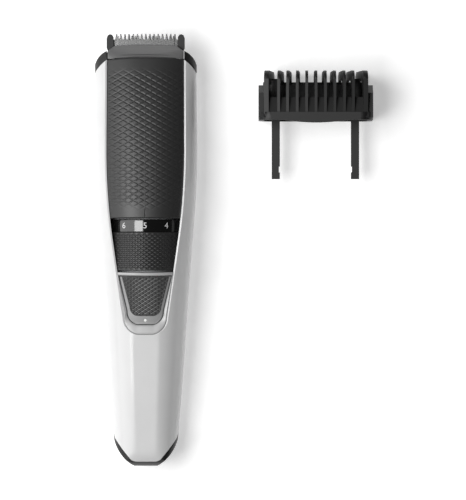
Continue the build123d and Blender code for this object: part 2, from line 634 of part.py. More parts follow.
def wire(side, lift):
    """One motor wire from the board to a terminal, with tangent arcs at its bends."""
    level = BOARD_TOP + WIRE_R
    route = [(4.2, 60.0, level), (4.4, 78.0, level), (6.0, 86.0, 18.4 + lift), (5.4, 92.5, 20.6 - lift),
             (6.0, 98.6, AXIS_Z + 0.25 + WIRE_R)]
    points = [Vector(side * x, y, z) for x, y, z in route]
    radii = []
    for a, b, c in zip(points, points[1:], points[2:]):
        half_turn = math.radians((b - a).get_angle(c - b)) / 2
        radii.append(0.45 * min((b - a).length, (c - b).length) / math.tan(half_turn))
    path = FilletPolyline(*points, radius=radii)
    print("wire bend radii", [round(r, 1) for r in radii])
    return sweep(Plane(origin=path @ 0, z_dir=path % 0) * Circle(WIRE_R), path=path)


# ---------------------------------------------------------------- comb
def fin(offset, thickness):
    """One fin: an open arch from the front of the band over the blades to the back plate."""
    outer = make_face(Curve() + [
        Polyline((155.5, 1.0), (141.5, 1.0), (141.5, 28.0), (150, COMB_DEPTH), (156.5, COMB_DEPTH)),
        ThreePointArc((156.5, COMB_DEPTH), (159.1, 27.4), (COMB_TIP, 24.6)),
        Line((COMB_TIP, 24.6), (COMB_TIP, 6.0)),
        ThreePointArc((COMB_TIP, 6.0), (158.8, 2.3), (155.5, 1.0)),
    ])
    space = [(140, 2.2), (155.0, 2.2), (156.4, 5.5), (156.4, 20.0), (152.0, 25.4), (140, 26.0)]
    arch = outer - make_face(Polyline(*space, close=True))
    shape = extrude(Plane.YZ.offset(-thickness / 2) * arch, thickness)
    return Pos(offset, 0, COMB_DEPTH) * Rot(0, offset * FIN_SPLAY, 0) * Pos(0, 0, -COMB_DEPTH) * shape


def comb():
    """The clip-on comb: a band round the head, eleven fins, two cheeks and two legs."""
    inner_x = COMB_HALF - COMB_WALL
    middle = Plane(origin=(0, COMB_LOW, COMB_DEPTH / 2), x_dir=(1, 0, 0), z_dir=(0, 1, 0))
    rim = RectangleRounded(2 * COMB_HALF, COMB_DEPTH, 5)
    hole = RectangleRounded(2 * inner_x, COMB_DEPTH - 2 * COMB_WALL, 3.5)
    body = extrude(middle * (rim - hole), COMB_BAND - COMB_LOW)
    lip = ThreePointArc((-13, COMB_LOW), (0, 138.9), (13, COMB_LOW))
    bulge = make_face(Curve() + [lip, Polyline(lip @ 1, (13, 141), (-13, 141), lip @ 0)])
    body += prism(bulge, COMB_DEPTH - COMB_WALL, COMB_DEPTH)
    cheek = [(141, 2.4), (152, 4.0), (154.2, 8.0), (154.2, 20), (151, 26.0), (141, 27.0)]
    body += pair(slab(cheek, inner_x, COMB_HALF))
    body += block(-inner_x - 0.2, inner_x + 0.2, COMB_LOW, 156.0, 0.8, 2.3)
    body += slab([(141, 28.4), (149.2, 26.2), (149.2, 24.8), (141, 27.0)], -inner_x - 0.2, inner_x + 0.2)
    body += fin(0, FIN_T)
    for offset in FIN_OFFSETS:
        body += fin(offset, FIN_T) + fin(-offset, FIN_T)
    body += fin(END_FIN_X, END_FIN_T) + fin(-END_FIN_X, END_FIN_T)
    low = COMB_LEG_Z - LEG_H / 2
    leg = block(LEG_X - LEG_W / 2, LEG_X + LEG_W / 2, COMB_LEG_END, 157, low, low + LEG_H)
    leg -= block(0, LEG_X - LEG_W / 2 + 0.4, 119.0, 121.4, 0, 30)
    save("beard_comb", Pos(COMB_X, 0, 0) * (body + pair(leg)))


# ---------------------------------------------------------------- assembly
def write():
    """Moves every node so that the origin is on the resting face, and writes it."""
    os.makedirs("parts", exist_ok=True)
    for name, shape in PARTS.items():
        export_step(Pos(0, -ORIGIN_FROM_BASE, 0) * shape, f"parts/{name}.step")


def main():
    shells()
    base_cap()
    shoulder_cap()
    front_panel()
    button()
    wheel()
    chassis()
    motor()
    rocker()
    cutter_frame()
    blades()
    cover()
    power()
    comb()
    write()


if __name__ == "__main__":
    main()
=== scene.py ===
import json
import math

import bpy
from mathutils import Matrix, Vector


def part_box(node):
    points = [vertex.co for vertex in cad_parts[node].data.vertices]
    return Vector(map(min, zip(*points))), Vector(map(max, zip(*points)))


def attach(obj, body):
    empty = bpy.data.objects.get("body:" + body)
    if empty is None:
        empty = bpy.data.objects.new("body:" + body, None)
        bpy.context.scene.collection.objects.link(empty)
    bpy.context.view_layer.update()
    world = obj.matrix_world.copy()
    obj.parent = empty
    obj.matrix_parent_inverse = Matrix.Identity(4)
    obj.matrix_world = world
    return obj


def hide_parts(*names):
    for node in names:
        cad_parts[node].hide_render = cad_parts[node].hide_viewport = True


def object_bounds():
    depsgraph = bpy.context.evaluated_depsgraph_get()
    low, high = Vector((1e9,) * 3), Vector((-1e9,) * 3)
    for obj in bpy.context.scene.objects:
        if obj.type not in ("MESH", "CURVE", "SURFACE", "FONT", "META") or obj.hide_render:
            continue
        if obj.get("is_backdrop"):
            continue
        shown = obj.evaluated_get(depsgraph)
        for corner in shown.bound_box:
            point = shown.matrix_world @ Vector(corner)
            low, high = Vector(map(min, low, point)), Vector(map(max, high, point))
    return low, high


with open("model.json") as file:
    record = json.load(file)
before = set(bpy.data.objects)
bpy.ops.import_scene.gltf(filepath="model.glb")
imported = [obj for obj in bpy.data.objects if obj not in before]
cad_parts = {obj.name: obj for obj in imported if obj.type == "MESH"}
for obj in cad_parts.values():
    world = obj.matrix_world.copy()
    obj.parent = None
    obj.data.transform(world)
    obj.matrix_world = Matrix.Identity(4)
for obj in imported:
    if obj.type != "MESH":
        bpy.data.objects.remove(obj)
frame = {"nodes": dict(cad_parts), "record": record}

bl_info = {
    "name": "Beard trimmer",
    "version": (1, 0, 0),
    "blender": (4, 5, 0),
    "location": "3D View > Sidebar > Trimmer",
    "description": "Builds the surfaces, finishes and studio of a cordless beard trimmer",
    "category": "Object",
}

# Shapes are worked out in millimetres: x across, s from the base end towards the blades, z up.
# at() turns them into the frame's metres.
MM = 0.001
BASE_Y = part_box("base_cap")[0].y
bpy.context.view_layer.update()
RECORD = frame["record"]


def mm_box(node):
    """Lowest and highest corner of a node as (x, s, z) in millimetres."""
    low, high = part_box(node)
    return [(c.x / MM, (c.y - BASE_Y) / MM, c.z / MM) for c in (low, high)]


WHEEL_BOX = mm_box("length_wheel")
RING_BOX = mm_box("number_ring")
PANEL_BOX = mm_box("front_panel")
GRIP_BOX = mm_box("rear_grip")
SHELL_BOX = mm_box("front_shell")
AXIS_Z = (WHEEL_BOX[0][2] + WHEEL_BOX[1][2]) / 2
WHEEL_R = (WHEEL_BOX[1][0] - WHEEL_BOX[0][0]) / 2
RING_R = (RING_BOX[1][0] - RING_BOX[0][0]) / 2
PART_Z = SHELL_BOX[0][2]

# Housing stations: distance from the base end, half width, rear z, front z.
STATIONS = [
    (-4.0, 12.2, 3.4, 21.4),
    (12.0, 13.05, 0.9, 24.4),
    (33.0, 14.8, -0.3, 27.6),
    (59.0, 16.6, -0.4, 31.0),
    (85.0, 18.5, -0.4, 34.3),
    (111.0, 20.4, 0.3, 35.3),
    (130.0, 20.85, 1.8, 34.2),
    (150.0, 20.6, 4.6, 31.2),
    (178.0, 20.3, 9.0, 25.4),
]
SQUARENESS = 2.35
NOSE_LENGTH = 9.0
NOSE_LOW = 16.0
NOSE_RISE = 8.6
NOSE_POWER = 1.7
NOSE_BLEND = 0.8
OPENING_LOW = 53.4
# The facet below the opening is this share of the half depth below the crown, and it ends at a crease.
FACET_SHARE = 0.034
FACET_BLEND = 0.16
CREASE_START = 50.0
CREASE_END = 60.0
DEGREES_PER_SETTING = 32.6
SETTINGS = [0.5] + list(range(1, 11))
SETTING_AT_REST = 5
BORE_R = 13.8
SLEEVE_R = 14.9
# The parting between panel and cutter cover bows by PARTING_DROP at PARTING_X from the middle.
PARTING_DROP = 1.4
PARTING_X = 20
BAR_LOW = 77.2
BAR_TOP = 78.5
# Size of a moulded diamond on the button and the wheel's knurl, along s.
FINE_TALL = 1.63
# The relief fades out over this distance from a pad's border, so that the border stays smooth.
RELIEF_FADE = 0.8
# Extra mesh shares close to a pad's borders, where the edge is rounded.
SIDE_SHARES = [0.004, 0.012, 0.024]
END_SHARES = [0.004, 0.010, 0.02]
WELD_DISTANCE = 0.002


# ---------------------------------------------------------------- form of the housing
def station(s):
    """Half width, rear z and front z of the housing at s, on a smooth curve through the stations."""
    last = len(STATIONS) - 1
    k = 0
    while k < last - 1 and s > STATIONS[k + 1][0]:
        k += 1
    low, high = STATIONS[k], STATIONS[k + 1]
    before, after = STATIONS[max(k - 1, 0)], STATIONS[min(k + 2, last)]
    length = high[0] - low[0]
    t = (s - low[0]) / length
    values = []
    for c in (1, 2, 3):
        leave = (high[c] - before[c]) / (high[0] - before[0]) * length
        reach = (after[c] - low[c]) / (after[0] - low[0]) * length
        values.append((2 * t ** 3 - 3 * t ** 2 + 1) * low[c] + (t ** 3 - 2 * t ** 2 + t) * leave
                      + (3 * t ** 2 - 2 * t ** 3) * high[c] + (t ** 3 - t ** 2) * reach)
    return values


def ease(t):
    """A smooth step from 0 to 1."""
    t = min(max(t, 0.0), 1.0)
    return t * t * (3 - 2 * t)


def soft_min(a, b, radius):
    """The smaller of two heights with a rounded change from one to the other."""
    h = max(radius - abs(a - b), 0.0) / radius
    return min(a, b) - h * h * radius / 4


def nose(s):
    """Height of the rounded base end, seen from the side."""
    reach = max(NOSE_LENGTH - s, 0.0) / NOSE_LENGTH
    return NOSE_LOW + NOSE_RISE * max(1 - reach ** NOSE_POWER, 0.0) ** (1 / NOSE_POWER)


def shaped(x, s, z, inset):
    """Rounds the base end into a front height and flattens the facet below the opening."""
    if s < NOSE_LENGTH:
        z = soft_min(z, nose(s) - inset, NOSE_BLEND)
    share = 1 - ease((s - CREASE_START) / (CREASE_END - CREASE_START))
    if share > 0:
        w, r, f = station(s)
        facet = f - inset - FACET_SHARE * (f - r) / 2
        z += (soft_min(z, facet, FACET_BLEND) - z) * share
    return z


def skin(x, s, inset=0.0, rear=False):
    """Height of the housing's front or rear surface at x, s."""
    w, r, f = station(s)
    rise = (f - r) / 2 - inset
    share = max(1 - (min(abs(x) / (w - inset), 1.0)) ** SQUARENESS, 0.0) ** (1 / SQUARENESS)
    if rear:
        return max((f + r) / 2 - rise * share, inset)
    return shaped(x, s, (f + r) / 2 + rise * share, inset)


def around(phi, s):
    """The point of the front surface at angle phi from the middle plane towards the side."""
    w, r, f = station(s)
    power = 2 / SQUARENESS
    c = math.cos(phi)
    x = w * math.copysign(abs(math.sin(phi)) ** power, phi)
    z = (f + r) / 2 + (f - r) / 2 * math.copysign(abs(c) ** power, c)
    return x, s, shaped(x, s, z, 0.0) if c > 0 else z


def angle_of(x, s):
    """The angle phi at which the front surface reaches x."""
    return math.asin(min(x / station(s)[0], 1.0) ** (SQUARENESS / 2))


def angle_of_parting(s):
    """The angle phi at which the side reaches the parting plane."""
    w, r, f = station(s)
    level = (PART_Z - (f + r) / 2) / ((f - r) / 2)
    return math.acos(math.copysign(abs(level) ** (SQUARENESS / 2), level))


# ---------------------------------------------------------------- outlines
def arc(a, b, c, steps=8):
    """Points on the circle through a, b and c, from a to c, without a."""
    ax, ay = a
    bx, by = b
    cx, cy = c
    d = 2 * (ax * (by - cy) + bx * (cy - ay) + cx * (ay - by))
    squares = ax ** 2 + ay ** 2, bx ** 2 + by ** 2, cx ** 2 + cy ** 2
    ux = (squares[0] * (by - cy) + squares[1] * (cy - ay) + squares[2] * (ay - by)) / d
    uy = (squares[0] * (cx - bx) + squares[1] * (ax - cx) + squares[2] * (bx - ax)) / d
    start = math.atan2(ay - uy, ax - ux)
    turn = (math.atan2(cy - uy, cx - ux) - start + math.pi) % (2 * math.pi) - math.pi
    r = math.hypot(ax - ux, ay - uy)
    return [(ux + r * math.cos(start + turn * k / steps), uy + r * math.sin(start + turn * k / steps))
            for k in range(1, steps + 1)]


def opening_edge(gap=0.0):
    """Right half of the front shell's opening, from its foot up."""
    foot = (3.0, OPENING_LOW + gap)
    corner = (8.55 - gap, 60.2)
    flank = (13.3 - gap, 93.0)
    swell = (15.65 - gap, 130.0)
    points = [(0.0, OPENING_LOW + gap), foot]
    points += arc(foot, (6.95 - gap * 0.7, 55.6 + gap * 0.7), corner)
    points.append(flank)
    points += arc(flank, (15.05 - gap, 110.0), swell)
    return points + [(15.5 - gap, 176.0)]


def button_edge(gap=0.0):
    """Right half of the button's outline, from its foot up."""
    foot = (3.2, 57.5 + gap)
    corner = (7.25 - gap, 63.0)
    points = [(0.0, 57.5 + gap), foot] + arc(foot, (6.05 - gap * 0.7, 59.25 + gap * 0.7), corner)
    return points + [(10.5 - gap, 76.9)]


def pad_edge():
    """Right half of the button pad's outline, from its foot up."""
    foot = (3.1, 60.9)
    corner = (6.35, 64.5)
    return [(0.0, 60.9), foot] + arc(foot, (5.35, 61.95), corner) + [(9.5, 76.75)]


def grip_edge():
    """Right half of the rear grip's outline, from its foot up."""
    points = [(0.0, 48.1), (5.4, 48.1)]
    points += arc((5.4, 48.1), (8.63, 50.5), (9.9, 56.0))
    points += arc((9.9, 56.0), (11.3, 93.0), (10.3, 129.0), 12)
    return points + arc((10.3, 129.0), (8.7, 134.5), (5.4, 136.9)) + [(0.0, 136.9)]


def parting_bow(x):
    """How far the bowed parting between panel and cutter cover has dropped along s at x."""
    return PARTING_DROP * (x / PARTING_X) ** 2


def half_at(edge, s):
    """Half width of an outline at s."""
    for (x0, s0), (x1, s1) in zip(edge[1:], edge[2:]):
        if s <= s1 and s1 > s0:
            return x0 + (x1 - x0) * max(s - s0, 0.0) / (s1 - s0)
    return edge[-1][0]


def resampled(points, count):
    """count + 1 points evenly spaced along a run of points."""
    lengths = [math.dist(a, b) for a, b in zip(points, points[1:])]
    result = []
    for k in range(count + 1):
        left = sum(lengths) * k / count
        i = 0
        while i < len(lengths) - 1 and left > lengths[i]:
            left -= lengths[i]
            i += 1
        t = min(left / lengths[i], 1.0) if lengths[i] else 0.0
        result.append(tuple(p + (q - p) * t for p, q in zip(points[i], points[i + 1])))
    return result


# ---------------------------------------------------------------- meshes
def at(x, s, z):
    """A millimetre position in the frame's metres."""
    return Vector((x * MM, s * MM + BASE_Y, z * MM))


def grid_piece(name, rows, ring_rows=False, ring_columns=False):
    """A smooth mesh whose faces join the points of neighbouring rows."""
    count = len(rows[0])
    faces = []
    for i in range(len(rows) if ring_rows else len(rows) - 1):
        upper = (i + 1) % len(rows)
        for j in range(count if ring_columns else count - 1):
            right = (j + 1) % count
            faces.append((i * count + j, i * count + right, upper * count + right, upper * count + j))
    mesh = bpy.data.meshes.new(name)
    mesh.from_pydata([at(*p) for row in rows for p in row], [], faces)
    mesh.shade_smooth()
    piece = bpy.data.objects.new(name, mesh)
    bpy.context.scene.collection.objects.link(piece)
    return piece


def thicken(piece, thickness, bevel=0.0):
    """Gives a surface its wall, and rounds the wall's edges."""
    wall = piece.modifiers.new("wall", "SOLIDIFY")
    wall.thickness = thickness * MM
    wall.offset = -1
    if bevel:
        rounding(piece, bevel)


def rounding(piece, width, angle=35):
    """Rounds the sharp edges of a piece."""
    weld = piece.modifiers.new("weld", "WELD")
    weld.merge_threshold = WELD_DISTANCE * MM
    bevel = piece.modifiers.new("rounding", "BEVEL")
    bevel.width = width * MM
    bevel.segments = 2
    bevel.limit_method = "ANGLE"
    bevel.angle_limit = math.radians(angle)
    bevel.harden_normals = True


def settle(piece, body, slot, *nodes):
    """Puts a piece on its body, in place of its nodes, in its slot's finish."""
    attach(piece, body)
    if nodes:
        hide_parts(*nodes)
    piece.data.materials.clear()
    piece.data.materials.append(material(slot))


def rolled(distance, radius):
    """How far a rounded edge of that radius has dropped at a distance from the border."""
    if distance >= radius:
        return 0.0
    return radius - math.sqrt(max(radius ** 2 - (radius - distance) ** 2, 0.0))


def spread(count, edge_shares):
    """Even shares from 0 to 1 with extra ones close to both ends."""
    inner = [k / count for k in range(1, count)]
    inner = [t for t in inner if edge_shares[-1] < t < 1 - edge_shares[-1]]
    return [0.0] + edge_shares + inner + [1 - t for t in reversed(edge_shares)] + [1.0]


def pad_piece(name, edge, low, top, inset, relief, columns, rows, radius, rear=False, extra=()):
    """A surface inside an outline that follows the housing, with a relief and a rounded border."""
    shares = sorted(set(spread(columns, SIDE_SHARES)) | set(extra))
    table = []
    for tau in spread(rows, END_SHARES):
        row = []
        for share in shares:
            f = 2 * share - 1
            s = low + (top(f * half_at(edge, low + 0.5 * (top(0) - low))) - low) * tau
            half = half_at(edge, s)
            x = f * half
            border = min(half - abs(x), s - low, top(x) - s)
            drop = rolled(max(border, 0.0), radius)
            away = relief(x, s) * ease(border / RELIEF_FADE) - drop
            z = skin(x, s, inset, rear)
            row.append((x, s, z + (-away if rear else away)))
        table.append(list(reversed(row)) if rear else row)
    return grid_piece(name, table)


def diamonds(a, b, wide, tall, groove=0.5):
    """Height share of a field of diamonds: 1 on the diamonds, 0 in the grooves between them."""
    p = a / wide + b / tall
    q = a / wide - b / tall
    near = min(abs(p - round(p)), abs(q - round(q))) * 2
    return ease(near / groove)


def turned(name, profile, steps, radius_at=None):
    """A closed profile of (radius, s) turned round the drive axis."""
    rows = []
    for r, s in profile:
        row = []
        for k in range(steps):
            angle = 2 * math.pi * k / steps
            radius = radius_at(r, s, angle) if radius_at else r
            row.append((radius * math.sin(angle), s, AXIS_Z + radius * math.cos(angle)))
        rows.append(row)
    return grid_piece(name, rows, ring_rows=True, ring_columns=True)


# ---------------------------------------------------------------- finishes
def group_tree(name, inputs, outputs):
    """A new shader node group with its sockets."""
    tree = bpy.data.node_groups.new(name, "ShaderNodeTree")
    for label, kind, value in inputs:
        socket = tree.interface.new_socket(label, in_out="INPUT", socket_type=kind)
        socket.default_value = value
    for label, kind in outputs:
        tree.interface.new_socket(label, in_out="OUTPUT", socket_type=kind)
    return tree, tree.nodes.new("NodeGroupInput"), tree.nodes.new("NodeGroupOutput")


def noise_node(tree, coordinates, scale, detail):
    """A noise texture on the given coordinates."""
    noise = tree.nodes.new("ShaderNodeTexNoise")
    noise.inputs["Detail"].default_value = detail
    tree.links.new(coordinates, noise.inputs["Vector"])
    tree.links.new(scale, noise.inputs["Scale"])
    return noise.outputs["Fac"]


def math_node(tree, operation, a, b, c=None):
    """A math node; each value is a socket or a number."""
    node = tree.nodes.new("ShaderNodeMath")
    node.operation = operation
    for socket, value in zip(node.inputs, (a, b, c)):
        if isinstance(value, (int, float)):
            socket.default_value = value
        elif value is not None:
            tree.links.new(value, socket)
    return node.outputs[0]


def mix_colour(tree, factor, a, b):
    """A colour between two colours."""
    node = tree.nodes.new("ShaderNodeMix")
    node.data_type = "RGBA"
    tree.links.new(factor, node.inputs["Factor"])
    for socket, value in ((node.inputs[6], a), (node.inputs[7], b)):
        tree.links.new(value, socket)
    return node.outputs[2]


FLOAT = "NodeSocketFloat"
COLOUR = "NodeSocketColor"
VECTOR = "NodeSocketVector"


def moulded_grain():
    """Node group: the fine grain, handling marks and tone changes of a moulded or cut surface."""
    name = "moulded_grain"
    if name in bpy.data.node_groups:
        return bpy.data.node_groups[name]
    inputs = [("Colour", COLOUR, (0.5, 0.5, 0.5, 1)), ("Tint", COLOUR, (0.4, 0.4, 0.4, 1)),
              ("Stretch", VECTOR, (1, 1, 1)), ("Grain", FLOAT, 3000.0), ("Patches", FLOAT, 60.0),
              ("Roughness", FLOAT, 0.4), ("Spread", FLOAT, 0.1), ("Depth", FLOAT, 1.0)]
    outputs = [("Colour", COLOUR), ("Roughness", FLOAT), ("Height", FLOAT)]
    tree, given, out = group_tree(name, inputs, outputs)
    where = tree.nodes.new("ShaderNodeTexCoord")
    scaled = tree.nodes.new("ShaderNodeVectorMath")
    scaled.operation = "MULTIPLY"
    tree.links.new(where.outputs["Object"], scaled.inputs[0])
    tree.links.new(given.outputs["Stretch"], scaled.inputs[1])
    fine = noise_node(tree, scaled.outputs[0], given.outputs["Grain"], 3)
    broad = noise_node(tree, where.outputs["Object"], given.outputs["Patches"], 4)
    colour = mix_colour(tree, broad, given.outputs["Colour"], given.outputs["Tint"])
    tree.links.new(colour, out.inputs["Colour"])
    fine_half = math_node(tree, "MULTIPLY", fine, 0.5)
    broad_half = math_node(tree, "MULTIPLY", broad, 0.5)
    both = math_node(tree, "ADD", fine_half, broad_half)
    shift = math_node(tree, "MULTIPLY", math_node(tree, "SUBTRACT", both, 0.5), given.outputs["Spread"])
    tree.links.new(math_node(tree, "ADD", shift, given.outputs["Roughness"]), out.inputs["Roughness"])
    tree.links.new(math_node(tree, "MULTIPLY", fine, given.outputs["Depth"]), out.inputs["Height"])
    return tree


# For each slot: roughness, its spread, metallic, coat, grain per metre, grain depth, stretch along x, y, z.
EVEN = (1.0, 1.0, 1.0)
ALONG_Y = (1.0, 0.06, 1.0)
ALONG_X = (0.06, 1.0, 1.0)
FINISHES = {
    "pearl_shell": (0.34, 0.08, 0.0, 0.35, 2600, 0.10, EVEN),
    "silver_trim": (0.46, 0.08, 0.15, 0.1, 2400, 0.10, EVEN),
    "grey_lip": (0.46, 0.08, 0.0, 0.0, 2600, 0.2, EVEN),
    "black_rubber": (0.56, 0.12, 0.0, 0.0, 4200, 0.8, EVEN),
    "black_plastic": (0.50, 0.12, 0.0, 0.0, 3600, 0.4, EVEN),
    "black_panel": (0.40, 0.10, 0.0, 0.0, 4200, 0.35, EVEN),
    "gloss_black": (0.07, 0.05, 0.0, 1.0, 1500, 0.02, EVEN),
    "dark_grey": (0.42, 0.08, 0.1, 0.0, 3200, 0.2, EVEN),
    "blade_steel": (0.23, 0.05, 1.0, 0.0, 2600, 0.05, ALONG_Y),
    "inner_plastic": (0.50, 0.12, 0.0, 0.0, 2400, 0.5, EVEN),
    "zinc_screw": (0.36, 0.16, 1.0, 0.0, 3000, 0.3, EVEN),
    "motor_steel": (0.34, 0.14, 1.0, 0.0, 2400, 0.3, ALONG_X),
    "bronze": (0.40, 0.16, 1.0, 0.0, 2400, 0.4, EVEN),
    "contact_metal": (0.26, 0.12, 1.0, 0.0, 2600, 0.2, ALONG_Y),
    "motor_black": (0.50, 0.14, 0.0, 0.0, 2600, 0.5, EVEN),
    "board_green": (0.42, 0.12, 0.0, 0.3, 1800, 0.2, EVEN),
    "cell_sleeve": (0.30, 0.10, 0.0, 0.3, 1600, 0.1, EVEN),
    "light": (0.22, 0.06, 0.0, 0.4, 1800, 0.05, EVEN),
    "wire_red": (0.44, 0.10, 0.0, 0.0, 2600, 0.2, EVEN),
    "wire_black": (0.44, 0.10, 0.0, 0.0, 2600, 0.2, EVEN),
    "number_print": (0.45, 0.10, 0.0, 0.0, 2600, 0.2, EVEN),
    "studio_floor": (0.70, 0.10, 0.0, 0.0, 300, 0.2, EVEN),
}
# How strongly a slot glows by itself; the floor glows so that it stays white, as a lit sweep does.
GLOWS = {"light": 0.05, "studio_floor": 0.50}
PAINTS = {m["slot"]: tuple(m["base_color"]) for m in RECORD["materials"]}
COAT_ROUGHNESS = 0.12
TINT = 0.88
BUMP_HEIGHT = 0.03
BUMP_STRENGTH = 0.35


def paint_of(slot):
    """A slot's colour: the setting where there is one, or else the record's."""
    colours = bpy.context.scene.trimmer_colours
    return tuple(getattr(colours, slot)) if hasattr(colours, slot) else PAINTS[slot]


def material(slot):
    """The material of one slot, made once."""
    if slot in bpy.data.materials and bpy.data.materials[slot].get("trimmer_finish"):
        return bpy.data.materials[slot]
    if slot in bpy.data.materials:
        bpy.data.materials[slot].name = slot + "_plain"
    roughness, change, metallic, coat, grain, depth, stretch = FINISHES[slot]
    made = bpy.data.materials.new(slot)
    made["trimmer_finish"] = True
    made.use_nodes = True
    tree = made.node_tree
    shader = tree.nodes["Principled BSDF"]
    shader.inputs["Metallic"].default_value = metallic
    shader.inputs["Coat Weight"].default_value = coat
    shader.inputs["Coat Roughness"].default_value = COAT_ROUGHNESS
    surface = tree.nodes.new("ShaderNodeGroup")
    surface.node_tree = moulded_grain()
    colour = paint_of(slot)
    surface.inputs["Colour"].default_value = (*colour, 1)
    surface.inputs["Tint"].default_value = (*[c * TINT for c in colour], 1)
    surface.inputs["Stretch"].default_value = stretch
    surface.inputs["Grain"].default_value = grain
    surface.inputs["Roughness"].default_value = roughness
    surface.inputs["Spread"].default_value = change
    surface.inputs["Depth"].default_value = depth
    bump = tree.nodes.new("ShaderNodeBump")
    bump.inputs["Distance"].default_value = BUMP_HEIGHT * MM
    bump.inputs["Strength"].default_value = BUMP_STRENGTH
    tree.links.new(surface.outputs["Colour"], shader.inputs["Base Color"])
    tree.links.new(surface.outputs["Roughness"], shader.inputs["Roughness"])
    tree.links.new(surface.outputs["Height"], bump.inputs["Height"])
    tree.links.new(bump.outputs["Normal"], shader.inputs["Normal"])
    if slot in GLOWS:
        tree.links.new(surface.outputs["Colour"], shader.inputs["Emission Color"])
        shader.inputs["Emission Strength"].default_value = GLOWS[slot]
    return made


# ---------------------------------------------------------------- settings
def size_setting(name, description, default):
    """A length in millimetres that a user may change."""
    return bpy.props.FloatProperty(name=name, description=description, default=default, min=0.0,
                                   precision=3)


def colour_setting(name, description, default):
    """A colour that a user may change."""
    return bpy.props.FloatVectorProperty(name=name, description=description, default=default,
                                         subtype="COLOR", size=3, min=0.0, max=1.0)


class TrimmerSizes(bpy.types.PropertyGroup):
    """Sizes of the relief and the edges, in millimetres."""
    chamfer: size_setting("Opening chamfer", "Chamfer of the front opening, in millimetres", 0.7)
    panel_relief: size_setting("Panel relief", "Depth of the panel's diamonds, in millimetres", 0.16)
    panel_wide: size_setting("Diamond width", "Width of a panel diamond, in millimetres", 4.45)
    panel_tall: size_setting("Diamond height", "Height of a panel diamond, in millimetres", 2.5)
    knurl_depth: size_setting("Knurl depth", "Depth of the wheel's knurl, in millimetres", 0.3)
    pad_relief: size_setting("Pad relief", "Depth of the button pad's diamonds, in millimetres", 0.4)
    grip_relief: size_setting("Grip relief", "Depth of the rear grip's diamonds, in millimetres", 0.25)
    digit_height: size_setting("Number height", "Height of the ring's numbers, in millimetres", 2.4)


class TrimmerColours(bpy.types.PropertyGroup):
    """Colours of the main finishes."""
    pearl_shell: colour_setting("Shell", "Pearl lacquer of the shells", (0.72, 0.72, 0.72))
    silver_trim: colour_setting("Trim", "Silver lacquer of the bezel", (0.50, 0.50, 0.50))
    grey_lip: colour_setting("Button", "Button and its lip", (0.34, 0.34, 0.34))
    black_rubber: colour_setting("Rubber", "Soft pads and the rear grip", (0.06, 0.06, 0.06))
    black_plastic: colour_setting("Black plastic", "Comb, cutter frame and caps", (0.006, 0.006, 0.006))
    black_panel: colour_setting("Panel", "Front panel and wheel", (0.028, 0.028, 0.028))
    gloss_black: colour_setting("Number ring", "Glossy number ring", (0.004, 0.004, 0.004))
    dark_grey: colour_setting("Cover", "Cover over the blades", (0.17, 0.17, 0.17))
    blade_steel: colour_setting("Blades", "Polished steel of the blades", (0.30, 0.30, 0.30))
    number_print: colour_setting("Numbers", "Print of the numbers", (0.75, 0.75, 0.75))
    studio_floor: colour_setting("Floor", "Studio floor", (0.93, 0.93, 0.93))


class TrimmerStudio(bpy.types.PropertyGroup):
    """Camera and lights."""
    camera_height: bpy.props.FloatProperty(name="Camera height", description="Height above the table",
                                           default=2.0, unit="LENGTH", subtype="DISTANCE")
    picture_width: bpy.props.FloatProperty(name="Picture width",
                                           description="Width that the picture takes in",
                                           default=0.1888, unit="LENGTH", subtype="DISTANCE")
    key_power: bpy.props.FloatProperty(name="Key light", description="Power of the soft key light in watts",
                                       default=9.3, min=0.0)
    side_power: bpy.props.FloatProperty(name="Side light", description="Power of the side light in watts",
                                        default=7.4, min=0.0)
    sky: bpy.props.FloatProperty(name="Sky", description="Strength of the even light from all sides",
                                 default=0.04, min=0.0)


# ---------------------------------------------------------------- operators
class TRIMMER_OT_finishes(bpy.types.Operator):
    """Gives every node its finish and rounds the edges of the outer ones."""
    bl_idname = "trimmer.finishes"
    bl_label = "Finishes and edges"

    roundings = {"rear_shell": 0.2, "base_cap": 0.25, "shoulder_cap": 0.2, "beard_comb": 0.15,
                 "cutter_frame": 0.35, "fixed_blade": 0.06, "moving_blade": 0.05,
                 "blade_carriage": 0.15, "housing_screws": 0.15, "comb_carrier": 0.2, "drive_rocker": 0.2,
                 "inner_chassis": 0.12, "motor_can": 0.3, "battery_cell": 0.4, "circuit_board": 0.1,
                 "board_components": 0.15, "tact_switch": 0.2, "socket_housing": 0.3, "head_seal": 0.2}

    def execute(self, context):
        for name, node in frame["nodes"].items():
            slot = node.data.materials[0].name.split(".")[0]
            node.data.materials[0] = material(slot.removesuffix("_plain"))
            if name in self.roundings:
                rounding(node, self.roundings[name])
        return {"FINISHED"}


